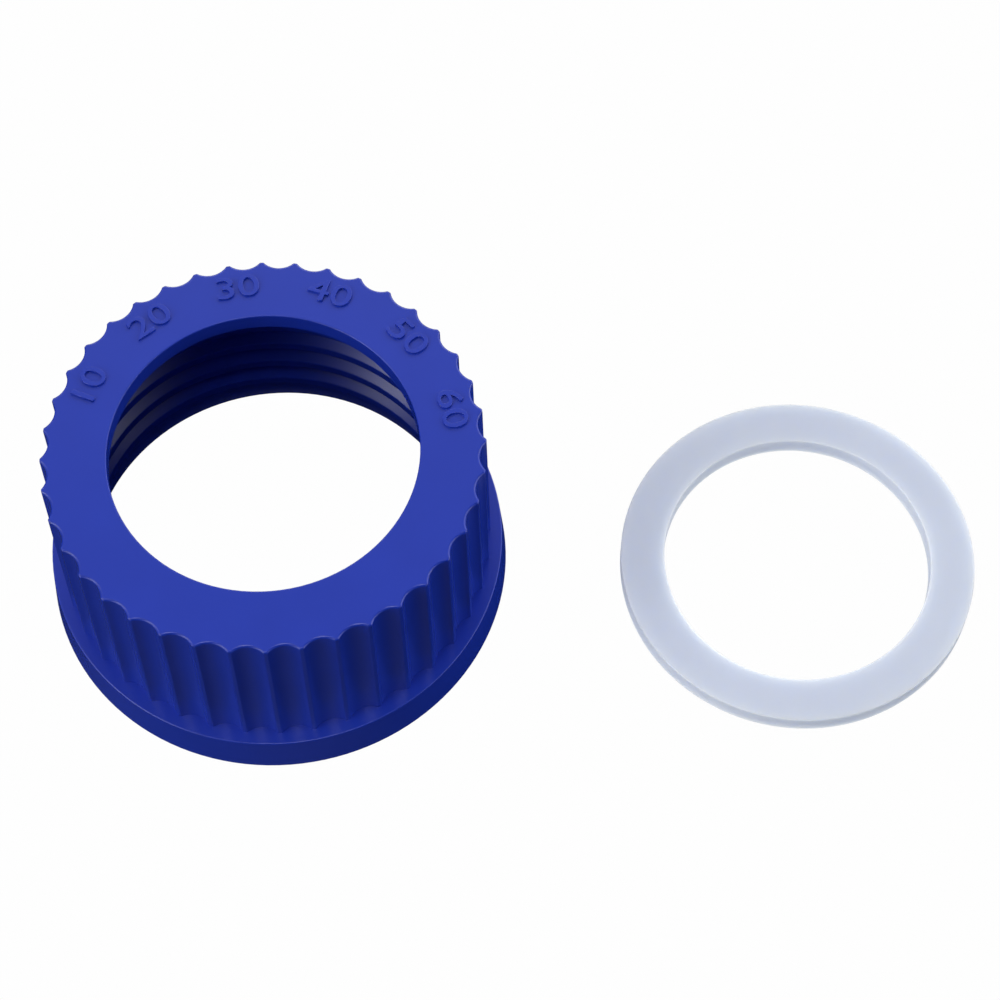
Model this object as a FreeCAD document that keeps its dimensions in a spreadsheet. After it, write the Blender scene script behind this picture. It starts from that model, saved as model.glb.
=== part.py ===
import FreeCAD, Part
import math
import os
import Sketcher

# Aperture cap for a bottle with the 45 mm laboratory thread, and the flat sealing ring that
# belongs in it. Millimetres. The ring stands on its skirt with its axis on Z, and Z = 0 is the
# surface it stands on. The seal lies on the same surface, beside the ring towards +X.

SIZES = [
    ("cap_height", 26.35, "surface to top face"),
    ("aperture_radius", 17.42, "open hole in the top plate"),
    ("plate_thickness", 2.4, "top plate"),
    ("bore_radius", 22.55, "inside wall, which is also the root of the thread"),
    ("mouth_band", 2.4, "plain band at the mouth, below the thread"),
    ("mouth_relief", 0.05, "how far the plain band stands back from the bore"),
    ("mouth_taper", 0.6, "height over which the plain band runs in to the bore"),
    ("mouth_chamfer", 0.1, "lead-in at the mouth"),
    ("thread_pitch", 4.0, "rise of the thread in one turn"),
    ("thread_depth", 1.1, "how far the ridge stands in from the bore"),
    ("thread_crest_width", 1.25, "ridge at its crest, measured along the axis"),
    ("thread_crest_radius", 0.2, "rounding on both edges of the crest"),
    ("thread_flank", 0.95, "run of each flank, measured along the axis"),
    ("thread_start_angle", -8, "where the ridge begins, in degrees from +X"),
    ("thread_fade_angle", 35, "how far round each end of the ridge fades into the bore"),
    ("seat_play", 1.6, "free height between the seal in its seat and the thread"),
    ("grip_wall", 1.49, "wall behind a flute at the top"),
    ("grip_draft", 0.36, "how much wider the grip is at the skirt than at the top"),
    ("flute_count", 40, "flutes around the grip"),
    ("flute_depth", 0.77, "from the ridges to the bottom of a flute"),
    ("ridge_land", 0.46, "width of a ridge before its edges are rounded"),
    ("ridge_radius", 0.2, "rounding on both edges of a ridge"),
    ("top_edge_radius", 0.25, "rounding along the scalloped edge of the top face"),
    ("aperture_edge_radius", 0.15, "rounding on both edges of the open hole"),
    ("skirt_height", 5.3, "plain band at the foot"),
    ("skirt_overhang", 1.35, "band's flat top, from the ridges to its edge"),
    ("skirt_draft", 0.46, "how much wider the band is at the surface than at its top"),
    ("skirt_edge_radius", 0.15, "rounding on the band's upper edge"),
    ("foot_edge_radius", 0.12, "rounding on the band's lower edge"),
    ("ring_turn", -1.6, "how far the ring is turned about its axis, in degrees"),
    ("seal_thickness", 2.5, "sealing ring"),
    ("seal_width", 5.2, "sealing ring, from its hole to its rim"),
    ("seal_clearance", 0.45, "between the seal's rim and the crest of the thread"),
    ("seal_edge_radius", 0.12, "rounding on the seal's edges"),
    ("seal_gap", 13.64, "from the skirt to the seal where it lies beside it"),
    ("seal_offset", -1.4, "how far the seal's centre lies from the X axis, along Y"),
]

# Sizes that follow from the driving ones, as expressions over the sheet.
PLATE_UNDERSIDE = "(Sizes.cap_height - Sizes.plate_thickness)"
MOUTH_RADIUS = "(Sizes.bore_radius + Sizes.mouth_relief)"
CREST_RADIUS = "(Sizes.bore_radius - Sizes.thread_depth)"
RIDGE_HALF_WIDTH = "(Sizes.thread_crest_width / 2 + Sizes.thread_flank)"
THREAD_START = f"(Sizes.mouth_band + {RIDGE_HALF_WIDTH})"
THREAD_TOP = f"({PLATE_UNDERSIDE} - Sizes.seal_thickness - Sizes.seat_play)"
THREAD_RISE = f"({THREAD_TOP} - {RIDGE_HALF_WIDTH} - {THREAD_START})"
VALLEY_RADIUS = "(Sizes.bore_radius + Sizes.grip_wall)"
GRIP_TOP_RADIUS = f"({VALLEY_RADIUS} + Sizes.flute_depth)"
GRIP_SLOPE = "(Sizes.grip_draft / (Sizes.cap_height - Sizes.skirt_height))"
SKIRT_TOP_RADIUS = f"({GRIP_TOP_RADIUS} + Sizes.grip_draft + Sizes.skirt_overhang)"
SKIRT_FOOT_RADIUS = f"({SKIRT_TOP_RADIUS} + Sizes.skirt_draft)"
SEAL_RADIUS = f"({CREST_RADIUS} - Sizes.seal_clearance)"
SEAL_HOLE_RADIUS = f"({SEAL_RADIUS} - Sizes.seal_width)"
SEAL_X = f"({SKIRT_FOOT_RADIUS} + Sizes.seal_gap + {SEAL_RADIUS})"

# A ridge's root and a cutter's ends reach this far past the face that they meet.
OVERLAP = 0.3
# The cutters that fade the ends of the thread keep this far from the bore and from the next turn.
KEEP_OFF = 0.1
# Points closer than this are the same point when an edge is looked for.
NEAR = 0.01


def make_sheet(doc):
    sheet = doc.addObject("Spreadsheet::Sheet", "Sizes")
    for row, (alias, value, note) in enumerate(SIZES, start=1):
        sheet.set(f"A{row}", alias)
        sheet.set(f"B{row}", str(value))
        sheet.set(f"C{row}", note)
        sheet.setAlias(f"B{row}", alias)
    doc.recompute()
    return sheet


def value_of(sheet, expression):
    """The number that an expression over the sheet gives."""
    return float(sheet.evalExpression(expression))


def origin_feature(body, role):
    return next(item for item in body.Origin.OriginFeatures if item.Role == role)


def add_sketch(body, name, plane):
    sketch = body.newObject("Sketcher::SketchObject", name)
    sketch.AttachmentSupport = [(origin_feature(body, plane), "")]
    sketch.MapMode = "FlatFace"
    return sketch


def name_size(sketch, number, name, expression):
    """Names a sketch dimension and binds it to the sheet."""
    sketch.renameConstraint(number, name)
    sketch.setExpression(f"Constraints.{name}", expression)


def pin_point(sketch, edge, end, name, x, y, point):
    """Ties a point's two coordinates to the sheet. A height of 0 holds it on the sketch's X axis."""
    across = Sketcher.Constraint("DistanceX", -1, 1, edge, end, point.x)
    name_size(sketch, sketch.addConstraint(across), f"{name}_across", x)
    if y == "0":
        sketch.addConstraint(Sketcher.Constraint("PointOnObject", edge, end, -1))
        return
    up = Sketcher.Constraint("DistanceY", -1, 1, edge, end, point.y)
    name_size(sketch, sketch.addConstraint(up), f"{name}_up", y)


def add_outline(sheet, sketch, corners):
    """A closed outline of straight edges. Each corner is its name and two expressions, x and y."""
    points = [FreeCAD.Vector(value_of(sheet, x), value_of(sheet, y), 0) for _, x, y in corners]
    count = len(points)
    for index in range(count):
        sketch.addGeometry(Part.LineSegment(points[index], points[(index + 1) % count]), False)
    for index in range(count):
        joined = Sketcher.Constraint("Coincident", index, 2, (index + 1) % count, 1)
        sketch.addConstraint(joined)
    for index, (name, x, y) in enumerate(corners):
        pin_point(sketch, index, 1, name, x, y, points[index])


def round_corner(sheet, sketch, corners, name, radius):
    """Rounds a named corner of the outline, and keeps the corner's own sizes."""
    # Edge 0 leaves the first corner, so the edge that ends at a corner is the one before it.
    edge = ([corner[0] for corner in corners].index(name) - 1) % len(corners)
    before = sketch.GeometryCount
    sketch.fillet(edge, 2, value_of(sheet, radius), True, True)
    arc = next(
        index
        for index in range(before, sketch.GeometryCount)
        if isinstance(sketch.Geometry[index], Part.ArcOfCircle)
    )
    size = Sketcher.Constraint("Radius", arc, value_of(sheet, radius))
    name_size(sketch, sketch.addConstraint(size), f"{name}_radius", radius)


def add_circle(sheet, sketch, name, x, y, radius):
    """A circle whose centre and radius are expressions over the sheet."""
    centre = FreeCAD.Vector(value_of(sheet, x), value_of(sheet, y), 0)
    size = value_of(sheet, radius)
    circle = sketch.addGeometry(Part.Circle(centre, FreeCAD.Vector(0, 0, 1), size), False)
    pin_point(sketch, circle, 3, name, x, y, centre)
    limit = Sketcher.Constraint("Radius", circle, size)
    name_size(sketch, sketch.addConstraint(limit), f"{name}_radius", radius)


def finish_feature(body, feature):
    body.Tip = feature
    body.Document.recompute()
    return feature


def add_turned(body, name, sketch):
    """The sketch turned once about Z."""
    feature = body.newObject("PartDesign::Revolution", name)
    feature.Profile = sketch
    feature.ReferenceAxis = (sketch, ["V_Axis"])
    feature.Angle = 360
    return finish_feature(body, feature)


def round_edges(body, name, picked, radius):
    """A fillet on every edge of the body that picked(edge) accepts."""
    base = body.Tip
    edges = enumerate(base.Shape.Edges, start=1)
    names = [f"Edge{number}" for number, edge in edges if picked(edge)]
    feature = body.newObject("PartDesign::Fillet", name)
    feature.Base = (base, names)
    feature.setExpression("Radius", radius)
    return finish_feature(body, feature)


def outside_edge(low, high, radius):
    """Accepts the edges that start at height low, end at height high and lie outside radius."""

    def picked(edge):
        heights = [point.Z for point in edge.Vertexes]
        reaches = [math.hypot(point.X, point.Y) for point in edge.Vertexes]
        from_low = abs(min(heights) - low) < NEAR
        to_high = abs(max(heights) - high) < NEAR
        return from_low and to_high and min(reaches) > radius

    return picked


def add_drum(sheet, body):
    """The turned drum: top plate with its hole, grip before the flutes are cut, and bore."""
    sketch = add_sketch(body, "DrumSection", "XZ_Plane")
    foot_radius = f"{GRIP_TOP_RADIUS} + Sizes.cap_height * {GRIP_SLOPE}"
    corners = [
        ("relief_end", MOUTH_RADIUS, "Sizes.mouth_band - Sizes.mouth_taper"),
        ("lead_in", MOUTH_RADIUS, "Sizes.mouth_chamfer"),
        ("mouth", f"{MOUTH_RADIUS} + Sizes.mouth_chamfer", "0"),
        ("grip_foot", foot_radius, "0"),
        ("grip_top", GRIP_TOP_RADIUS, "Sizes.cap_height"),
        ("hole_top", "Sizes.aperture_radius", "Sizes.cap_height"),
        ("hole_under", "Sizes.aperture_radius", PLATE_UNDERSIDE),
        ("bore_end", "Sizes.bore_radius", PLATE_UNDERSIDE),
        ("bore_start", "Sizes.bore_radius", "Sizes.mouth_band"),
    ]
    add_outline(sheet, sketch, corners)
    for corner in ("hole_top", "hole_under"):
        round_corner(sheet, sketch, corners, corner, "Sizes.aperture_edge_radius")
    add_turned(body, "Drum", sketch)


def add_thread(sheet, body):
    """The inside screw ridge: a blunt section with a rounded crest, on a right-hand helix."""
    sketch = add_sketch(body, "ThreadSection", "XZ_Plane")
    sketch.AttachmentOffset = FreeCAD.Placement(
        FreeCAD.Vector(), FreeCAD.Rotation(FreeCAD.Vector(0, 1, 0), 1)
    )
    sketch.setExpression("AttachmentOffset.Rotation.Angle", "Sizes.thread_start_angle")
    root = f"Sizes.bore_radius + {OVERLAP}"
    half_crest = "Sizes.thread_crest_width / 2"
    # Each flank keeps its slope where it is buried in the wall.
    half_root = f"({RIDGE_HALF_WIDTH} + Sizes.thread_flank * {OVERLAP} / Sizes.thread_depth)"
    corners = [
        ("root_low", root, f"{THREAD_START} - {half_root}"),
        ("crest_low", CREST_RADIUS, f"{THREAD_START} - {half_crest}"),
        ("crest_high", CREST_RADIUS, f"{THREAD_START} + {half_crest}"),
        ("root_high", root, f"{THREAD_START} + {half_root}"),
    ]
    add_outline(sheet, sketch, corners)
    for corner in ("crest_low", "crest_high"):
        round_corner(sheet, sketch, corners, corner, "Sizes.thread_crest_radius")
    ridge = body.newObject("PartDesign::AdditiveHelix", "ThreadRidge")
    ridge.Profile = sketch
    ridge.ReferenceAxis = (sketch, ["V_Axis"])
    ridge.Mode = "pitch-height-angle"
    ridge.setExpression("Pitch", "Sizes.thread_pitch")
    ridge.setExpression("Height", THREAD_RISE)
    finish_feature(body, ridge)


def fade_thread_end(sheet, body, name, angle, low, high):
    """Fades one end of the ridge: a round cutter that all but touches the bore at the ridge's end
    takes less and less of the ridge away from it, between the two heights."""
    sketch = add_sketch(body, f"{name}Section", "XY_Plane")
    sketch.AttachmentOffset = FreeCAD.Placement(
        FreeCAD.Vector(0, 0, 1), FreeCAD.Rotation(FreeCAD.Vector(0, 0, 1), 1)
    )
    sketch.setExpression("AttachmentOffset.Base.z", low)
    # The sketch's X axis points away from the ridge's end, which keeps the cutter's seam off it.
    sketch.setExpression("AttachmentOffset.Rotation.Angle", f"{angle} + 180")
    reach = f"(Sizes.bore_radius - {KEEP_OFF})"
    fade = "cos(Sizes.thread_fade_angle)"
    # The cutter reaches the crest at the fade angle and the bore at the ridge's end.
    above = f"({CREST_RADIUS} ^ 2 + {reach} ^ 2 - 2 * {CREST_RADIUS} * {reach} * {fade})"
    radius = f"({above} / (2 * ({reach} - {CREST_RADIUS} * {fade})))"
    add_circle(sheet, sketch, "cutter", f"{radius} - {reach}", "0", radius)
    cut = body.newObject("PartDesign::Pocket", name)
    cut.Profile = sketch
    cut.Type = "Length"
    cut.Reversed = True
    cut.setExpression("Length", f"{high} - {low}")
    finish_feature(body, cut)


def add_flutes(sheet, body):
    """The grip's flutes: one round cut, leaned by the grip's draft, and its copies round the axis."""
    half_chord = f"({GRIP_TOP_RADIUS} * sin(180 / Sizes.flute_count) - Sizes.ridge_land / 2)"
    # The flute's depth below the straight line between its two ridges.
    rise = f"(Sizes.flute_depth - {GRIP_TOP_RADIUS} * (1 - cos(180 / Sizes.flute_count)))"
    radius = f"(({half_chord} ^ 2 + {rise} ^ 2) / (2 * {rise}))"
    flute = body.newObject("PartDesign::SubtractiveCylinder", "Flute")
    flute.AttachmentSupport = [(origin_feature(body, "XY_Plane"), "")]
    flute.MapMode = "FlatFace"
    flute.AttachmentOffset = FreeCAD.Placement(
        FreeCAD.Vector(1, 0, -1), FreeCAD.Rotation(FreeCAD.Vector(0, 1, 0), -1)
    )
    lean = f"atan({GRIP_SLOPE})"
    centre = f"{VALLEY_RADIUS} + {radius} + (Sizes.cap_height + {OVERLAP}) * {GRIP_SLOPE}"
    flute.setExpression("AttachmentOffset.Base.x", centre)
    flute.setExpression("AttachmentOffset.Base.z", f"-{OVERLAP}")
    flute.setExpression("AttachmentOffset.Rotation.Angle", f"-{lean}")
    flute.setExpression("Radius", radius)
    flute.setExpression("Height", f"(Sizes.cap_height + 2 * {OVERLAP}) / cos({lean})")
    finish_feature(body, flute)
    flutes = body.newObject("PartDesign::PolarPattern", "Flutes")
    flutes.Originals = [flute]
    flutes.Axis = (origin_feature(body, "Z_Axis"), [""])
    flutes.Angle = 360
    flutes.setExpression("Occurrences", "Sizes.flute_count")
    finish_feature(body, flutes)


def add_skirt(sheet, body):
    """The plain band at the foot, which closes the lower ends of the flutes."""
    sketch = add_sketch(body, "SkirtSection", "XZ_Plane")
    inside_wall = "Sizes.bore_radius + Sizes.grip_wall / 2"
    corners = [
        ("band_inside", inside_wall, "0"),
        ("band_foot", SKIRT_FOOT_RADIUS, "0"),
        ("band_top", SKIRT_TOP_RADIUS, "Sizes.skirt_height"),
        ("band_root", inside_wall, "Sizes.skirt_height"),
    ]
    add_outline(sheet, sketch, corners)
    round_corner(sheet, sketch, corners, "band_foot", "Sizes.foot_edge_radius")
    round_corner(sheet, sketch, corners, "band_top", "Sizes.skirt_edge_radius")
    add_turned(body, "Skirt", sketch)


def make_ring(sheet, doc):
    body = doc.addObject("PartDesign::Body", "ThreadedRing")
    body.Label = "threaded_ring"
    top = value_of(sheet, "Sizes.cap_height")
    bore = value_of(sheet, "Sizes.bore_radius")
    add_drum(sheet, body)
    add_thread(sheet, body)
    fade_rise = "Sizes.thread_pitch * Sizes.thread_fade_angle / 360"
    fade_height = f"(2 * {RIDGE_HALF_WIDTH} + {fade_rise} + {KEEP_OFF})"
    start_low = f"(Sizes.mouth_band - {KEEP_OFF})"
    start_high = f"(Sizes.mouth_band + {fade_height})"
    fade_thread_end(
        sheet, body, "ThreadStart", "Sizes.thread_start_angle", start_low, start_high
    )
    end_angle = f"Sizes.thread_start_angle + 360 * {THREAD_RISE} / Sizes.thread_pitch"
    end_low = f"({THREAD_TOP} - {fade_height})"
    end_high = f"({THREAD_TOP} + {KEEP_OFF})"
    fade_thread_end(sheet, body, "ThreadEnd", end_angle, end_low, end_high)
    add_flutes(sheet, body)
    # The smaller of the stated rounding and what the ridge's width leaves room for.
    ridge_round = "min(Sizes.ridge_radius; 0.9 * Sizes.ridge_land)"
    round_edges(body, "RidgeRounding", outside_edge(0, top, bore), ridge_round)
    add_skirt(sheet, body)
    round_edges(body, "TopEdge", outside_edge(top, top, bore), "Sizes.top_edge_radius")
    body.Placement = FreeCAD.Placement(
        FreeCAD.Vector(), FreeCAD.Rotation(FreeCAD.Vector(0, 0, 1), 1)
    )
    body.setExpression("Placement.Rotation.Angle", "Sizes.ring_turn")
    return body


def make_seal(sheet, doc):
    """The flat sealing ring, lying on the surface beside the cap."""
    body = doc.addObject("PartDesign::Body", "SealingRing")
    body.Label = "sealing_ring"
    sketch = add_sketch(body, "SealSection", "XZ_Plane")
    corners = [
        ("hole_low", SEAL_HOLE_RADIUS, "0"),
        ("rim_low", SEAL_RADIUS, "0"),
        ("rim_high", SEAL_RADIUS, "Sizes.seal_thickness"),
        ("hole_high", SEAL_HOLE_RADIUS, "Sizes.seal_thickness"),
    ]
    add_outline(sheet, sketch, corners)
    for corner, _, _ in corners:
        round_corner(sheet, sketch, corners, corner, "Sizes.seal_edge_radius")
    add_turned(body, "Seal", sketch)
    body.setExpression("Placement.Base.x", SEAL_X)
    body.setExpression("Placement.Base.y", "Sizes.seal_offset")
    return body


def check_document(doc):
    for item in doc.Objects:
        if "Invalid" in item.State or "Error" in item.State:
            raise RuntimeError(f"{item.Name} failed: {item.State}")


def main():
    doc = FreeCAD.newDocument("ApertureCap")
    sheet = make_sheet(doc)
    bodies = [make_ring(sheet, doc), make_seal(sheet, doc)]
    doc.recompute()
    check_document(doc)
    for body in bodies:
        if body.Shape.isNull() or not body.Shape.isValid():
            raise RuntimeError(f"{body.Label} has no valid shape")
    os.makedirs("parts", exist_ok=True)
    for body in bodies:
        body.Shape.exportStep(f"parts/{body.Label}.step")
        solids = len(body.Shape.Solids)
        print(body.Label, solids, "solid", round(body.Shape.Volume, 1), "cubic mm")


main()
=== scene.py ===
import math

import bmesh
import bpy
from mathutils import Matrix, Vector


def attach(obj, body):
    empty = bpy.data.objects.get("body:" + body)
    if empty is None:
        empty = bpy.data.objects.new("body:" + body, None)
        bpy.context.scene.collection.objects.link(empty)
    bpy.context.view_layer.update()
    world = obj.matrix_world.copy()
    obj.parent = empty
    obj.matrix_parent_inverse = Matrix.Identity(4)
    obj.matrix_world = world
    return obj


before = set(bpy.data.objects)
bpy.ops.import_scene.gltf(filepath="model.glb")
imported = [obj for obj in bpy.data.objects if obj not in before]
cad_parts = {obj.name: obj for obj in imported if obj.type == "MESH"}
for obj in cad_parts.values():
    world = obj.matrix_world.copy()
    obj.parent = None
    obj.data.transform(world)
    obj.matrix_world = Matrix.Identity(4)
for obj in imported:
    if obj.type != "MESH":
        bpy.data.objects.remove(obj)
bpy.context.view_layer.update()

# An open-top screw cap in blue plastic, standing on its skirt, and its flat silicone seal beside
# it. The cap's axis is Z, and Z = 0 is the surface that both lie on. Lengths are in metres.

MM = 0.001

# The raised numbers, 10, 20 and so on, clockwise from the left. Angles are in degrees from +X.
NUMBER_COUNT = 6
NUMBER_START = 158
NUMBER_STEP = 28.8
# They stand on the top face, with their middle on a ring.
CAP_HEIGHT = 26.35 * MM
NUMBER_RING = 21.7 * MM
NUMBER_HEIGHT = 2.95 * MM
NUMBER_RELIEF = 0.28 * MM
# The rounding of a stroke's edge, and what is taken off its side so that the rounding fits.
NUMBER_EDGE = 0.03 * MM
NUMBER_TRIM = 0.01 * MM
# The font's size over the height of its digits, and how much wider than the font they are.
FONT_SIZE_RATIO = 1.38
NUMBER_WIDENING = 1.3

# The ground: a white sheet that fills the picture, and two patches a little above it. One lies
# round the seal, and the other, a black sheet of painted shade, lies inside the cap.
SEAL_CENTRE = Vector((61.62, -1.4, 0)) * MM
FLOOR_HALF_WIDTH = 1.5
FLOOR_DEPTH = 0.02 * MM
PATCH_DEPTH = 0.01 * MM
PATCH_SEGMENTS = 64
LIT_PATCH_RADIUS = 25 * MM
SHADED_PATCH_RADIUS = 22 * MM

# The photograph's camera, solved from the outlines of both pieces.
CAMERA_TARGET = Vector((26.27, 7.626, 0)) * MM
CAMERA_ELEVATION = math.radians(62.129)
CAMERA_DISTANCE = 316.56 * MM
CAMERA_LENS = 93.97

# Soft boxes: height above the horizon and turn from +X in degrees, how narrow the glow is, and
# its strength. The two below the horizon are light that comes back from the ground. The last is
# the lamp that draws the bright line along each edge.
SOFT_BOXES = [
    (90, 0, 24, 0.7),
    (47, 36, 24, 0.45),
    (47, 72, 24, 0.6),
    (47, 108, 24, 0.4),
    (47, 144, 24, 0.4),
    (47, 180, 24, 1.9),
    (16, 0, 24, 2.1),
    (16, 26, 24, 2.6),
    (16, 51, 24, 2.1),
    (27, 77, 24, 2.2),
    (27, 103, 24, 3.2),
    (27, 206, 24, 4.2),
    (7, 0, 24, 1.0),
    (7, 225, 24, 3.1),
    (7, 338, 24, 1.8),
    (-20, 180, 8, 0.2),
    (-60, 270, 12, 0.06),
    (76, 270, 70, 6.0),
]


def linear(code):
    """An sRGB hex colour as linear RGBA."""
    channels = [int(code[start : start + 2], 16) / 255 for start in (1, 3, 5)]
    return [
        value / 12.92 if value <= 0.04045 else ((value + 0.055) / 1.055) ** 2.4
        for value in channels
    ] + [1.0]


def add_node(tree, kind, settings=None, **inputs):
    """Adds a node. An input is a value, or the output socket that feeds it."""
    node = tree.nodes.new(kind)
    for name, value in (settings or {}).items():
        setattr(node, name, value)
    for name, value in inputs.items():
        key = int(name[1:]) if name[0] == "_" else name.replace("_", " ")
        if isinstance(value, bpy.types.NodeSocket):
            tree.links.new(value, node.inputs[key])
        else:
            node.inputs[key].default_value = value
    return node


def new_material(name):
    material = bpy.data.materials.new(name)
    material.use_nodes = True
    material.node_tree.nodes.clear()
    return material, material.node_tree


def moulded_polypropylene():
    """Injection-moulded polypropylene, pigmented blue: an even satin skin with a soft sheen."""
    material, tree = new_material("moulded_polypropylene")
    place = add_node(tree, "ShaderNodeTexCoord").outputs["Object"]
    # Slow flow marks of the melt, about 6 mm across, and the fine grain of the mould.
    flow = add_node(
        tree, "ShaderNodeTexNoise", Vector=place, Scale=1 / (6 * MM), Detail=2.0, Roughness=0.5
    )
    grain = add_node(
        tree, "ShaderNodeTexNoise", Vector=place, Scale=1 / (0.25 * MM), Detail=3.0, Roughness=0.6
    )
    shade = add_node(
        tree,
        "ShaderNodeMix",
        {"data_type": "RGBA"},
        _0=flow.outputs["Fac"],
        _6=linear("#1a33a4"),
        _7=linear("#1d37ad"),
    )
    rough = add_node(
        tree,
        "ShaderNodeMapRange",
        Value=grain.outputs["Fac"],
        To_Min=0.2,
        To_Max=0.26,
    )
    bump = add_node(
        tree,
        "ShaderNodeBump",
        Height=grain.outputs["Fac"],
        Strength=0.05,
        Distance=0.01 * MM,
    )
    shader = add_node(
        tree,
        "ShaderNodeBsdfPrincipled",
        Base_Color=shade.outputs[2],
        Roughness=rough.outputs["Result"],
        IOR=1.49,
        Normal=bump.outputs["Normal"],
    )
    add_node(tree, "ShaderNodeOutputMaterial", Surface=shader.outputs["BSDF"])
    return material


def translucent_silicone():
    """Cast silicone sheet: milky, with light passing into its edges, and a dull skin."""
    material, tree = new_material("translucent_silicone")
    place = add_node(tree, "ShaderNodeTexCoord").outputs["Object"]
    # Faint clouds in the rubber, about 9 mm across, and the fine texture of its skin.
    haze = add_node(
        tree, "ShaderNodeTexNoise", Vector=place, Scale=1 / (9 * MM), Detail=2.0, Roughness=0.5
    )
    skin = add_node(
        tree, "ShaderNodeTexNoise", Vector=place, Scale=1 / (0.4 * MM), Detail=2.0, Roughness=0.5
    )
    shade = add_node(
        tree,
        "ShaderNodeMix",
        {"data_type": "RGBA"},
        _0=haze.outputs["Fac"],
        _6=linear("#c6ccd9"),
        _7=linear("#cdd3df"),
    )
    bump = add_node(
        tree, "ShaderNodeBump", Height=skin.outputs["Fac"], Strength=0.08, Distance=0.02 * MM
    )
    shader = add_node(
        tree,
        "ShaderNodeBsdfPrincipled",
        Base_Color=shade.outputs[2],
        Roughness=0.5,
        IOR=1.41,
        Subsurface_Weight=1.0,
        Subsurface_Radius=(1.0, 1.1, 1.3),
        Subsurface_Scale=2.5 * MM,
        Normal=bump.outputs["Normal"],
    )
    add_node(tree, "ShaderNodeOutputMaterial", Surface=shader.outputs["BSDF"])
    return material


def dress(node, material):
    node.data.materials.clear()
    node.data.materials.append(material)


def place_mesh(name, built, material):
    """Turns a bmesh into an object in the scene."""
    mesh = bpy.data.meshes.new(name)
    built.to_mesh(mesh)
    built.free()
    mesh.materials.append(material)
    placed = bpy.data.objects.new(name, mesh)
    bpy.context.scene.collection.objects.link(placed)
    return placed


def number_mesh(text):
    """One number as a mesh, centred over its baseline, with its middle plane at Z = 0."""
    curve = bpy.data.curves.new("number", "FONT")
    curve.body = text
    curve.size = NUMBER_HEIGHT * FONT_SIZE_RATIO
    curve.align_x = "CENTER"
    curve.extrude = NUMBER_RELIEF - NUMBER_EDGE
    curve.offset = -NUMBER_TRIM
    curve.bevel_depth = NUMBER_EDGE
    curve.bevel_resolution = 1
    curve.resolution_u = 6
    holder = bpy.data.objects.new("number", curve)
    bpy.context.scene.collection.objects.link(holder)
    bpy.context.view_layer.update()
    mesh = bpy.data.meshes.new_from_object(
        holder.evaluated_get(bpy.context.evaluated_depsgraph_get())
    )
    bpy.data.objects.remove(holder)
    bpy.data.curves.remove(curve)
    return mesh


def make_numbers(material):
    """Plain raised numbers, evenly spaced round the back half of the top face."""
    built = bmesh.new()
    widen = Matrix.Diagonal((NUMBER_WIDENING, 1.0, 1.0, 1.0))
    lift = Matrix.Translation((0, NUMBER_RING - NUMBER_HEIGHT / 2, CAP_HEIGHT))
    for step in range(NUMBER_COUNT):
        mesh = number_mesh(str(10 * (step + 1)))
        angle = math.radians(NUMBER_START - step * NUMBER_STEP)
        mesh.transform(Matrix.Rotation(angle - math.pi / 2, 4, "Z") @ lift @ widen)
        built.from_mesh(mesh)
        bpy.data.meshes.remove(mesh)
    bmesh.ops.remove_doubles(built, verts=built.verts, dist=0.001 * MM)
    bmesh.ops.recalc_face_normals(built, faces=built.faces)
    numbers = place_mesh("raised_numbers", built, material)
    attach(numbers, "root")


def glowing_paper(name, strength):
    """Paper that glows evenly. At strength 0 it is black."""
    material, tree = new_material(name)
    glow = add_node(tree, "ShaderNodeEmission", Color=linear("#fefefe"), Strength=strength)
    add_node(tree, "ShaderNodeOutputMaterial", Surface=glow.outputs["Emission"])
    return material


def make_floor():
    """An even white ground that throws no light up at the cap."""
    built = bmesh.new()
    bmesh.ops.create_grid(built, x_segments=1, y_segments=1, size=FLOOR_HALF_WIDTH)
    bmesh.ops.translate(built, verts=built.verts, vec=(0, 0, -FLOOR_DEPTH))
    floor = place_mesh("white_ground", built, glowing_paper("white_ground", 1.0))
    floor.visible_diffuse = False
    floor.visible_glossy = False


def make_ground_patch(name, centre, radius, strength):
    """A round patch of the ground that the camera doesn't see."""
    built = bmesh.new()
    bmesh.ops.create_circle(built, cap_ends=True, segments=PATCH_SEGMENTS, radius=radius)
    bmesh.ops.translate(built, verts=built.verts, vec=centre - Vector((0, 0, PATCH_DEPTH)))
    patch = place_mesh(name, built, glowing_paper(name, strength))
    patch.visible_camera = False
    return patch


def make_ground_patches():
    """The lit ground round the seal, and a black patch of painted shade that the cap's inner wall
    mirrors.
    """
    lit = make_ground_patch("lit_ground", SEAL_CENTRE, LIT_PATCH_RADIUS, 0.9)
    lit.visible_glossy = False
    # Painted shade: a black sheet, seen only in reflections, stands in for the shade under the
    # cap.
    shaded = make_ground_patch("painted_shade_ground", Vector(), SHADED_PATCH_RADIUS, 0.0)
    shaded.visible_diffuse = False


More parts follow.
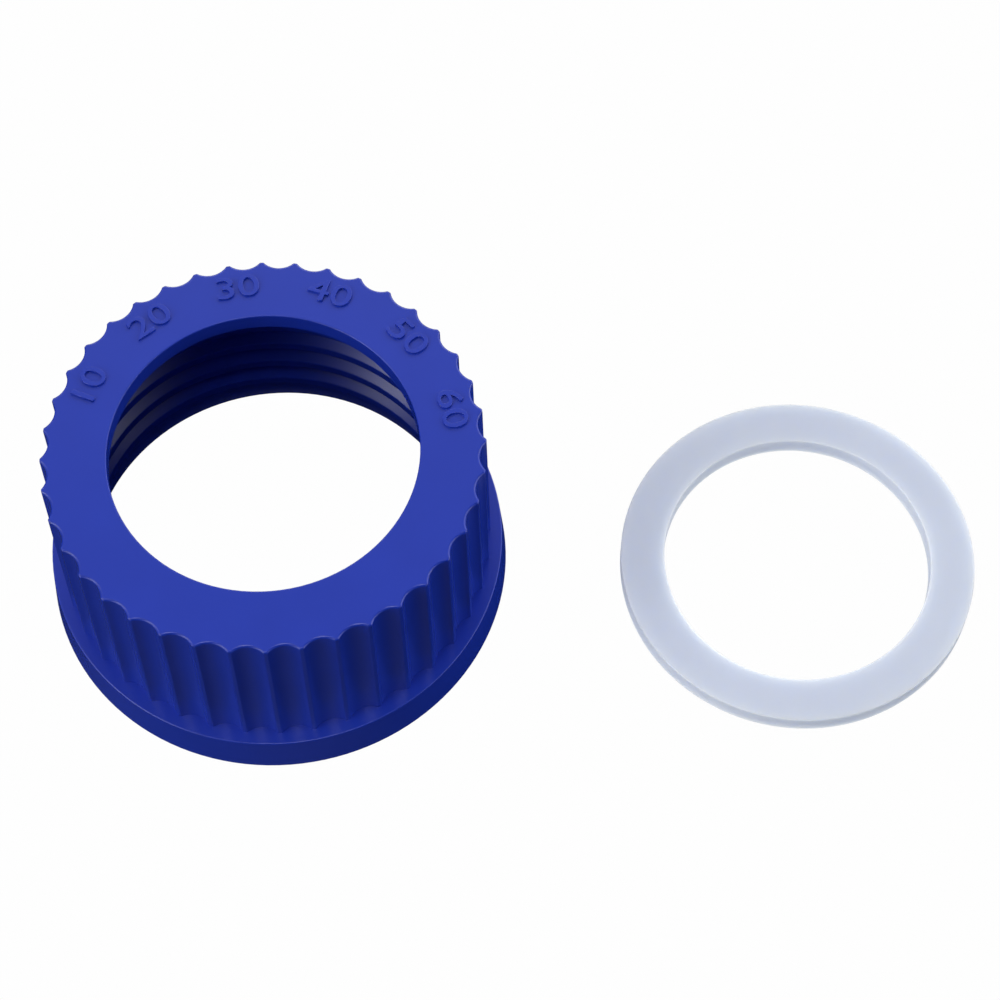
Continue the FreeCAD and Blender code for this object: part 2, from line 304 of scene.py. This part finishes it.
def light_studio():
    """Soft boxes round a dark studio, each a round glow in the world about one direction."""
    world = bpy.data.worlds.new("studio")
    bpy.context.scene.world = world
    world.use_nodes = True
    tree = world.node_tree
    tree.nodes.clear()
    place = add_node(tree, "ShaderNodeTexCoord").outputs["Generated"]
    total = 0.0
    for height, turn, focus, strength in SOFT_BOXES:
        height, turn = math.radians(height), math.radians(turn)
        towards = (
            math.cos(height) * math.cos(turn), math.cos(height) * math.sin(turn), math.sin(height)
        )
        facing = add_node(
            tree, "ShaderNodeVectorMath", {"operation": "DOT_PRODUCT"}, _0=place, _1=towards
        )
        # exp(focus * (facing - 1)) is 1 in the box's own direction and falls off around it.
        power = add_node(
            tree,
            "ShaderNodeMath",
            {"operation": "MULTIPLY_ADD"},
            _0=facing.outputs["Value"],
            _1=focus,
            _2=-focus,
        )
        glow = add_node(
            tree, "ShaderNodeMath", {"operation": "EXPONENT"}, _0=power.outputs["Value"]
        )
        total = add_node(
            tree,
            "ShaderNodeMath",
            {"operation": "MULTIPLY_ADD"},
            _0=glow.outputs["Value"],
            _1=strength,
            _2=total,
        ).outputs["Value"]
    sky = add_node(tree, "ShaderNodeBackground", Color=linear("#ffffff"), Strength=total)
    add_node(tree, "ShaderNodeOutputWorld", Surface=sky.outputs["Background"])


def place_camera():
    """The camera stands in front, on the side of -Y, and looks down at its target."""
    camera = bpy.data.cameras.new("camera")
    camera.lens = CAMERA_LENS
    camera.sensor_width = 36
    camera.clip_start = 0.01
    camera.clip_end = 10
    holder = bpy.data.objects.new("camera", camera)
    bpy.context.scene.collection.objects.link(holder)
    back = Vector((0, -math.cos(CAMERA_ELEVATION), math.sin(CAMERA_ELEVATION)))
    holder.location = CAMERA_TARGET + back * CAMERA_DISTANCE
    holder.rotation_euler = (math.pi / 2 - CAMERA_ELEVATION, 0, 0)
    bpy.context.scene.camera = holder


blue = moulded_polypropylene()
dress(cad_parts["threaded_ring"], blue)
dress(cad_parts["sealing_ring"], translucent_silicone())
make_numbers(blue)
make_floor()
make_ground_patches()
light_studio()
place_camera()
bpy.context.scene.view_settings.view_transform = "Standard"
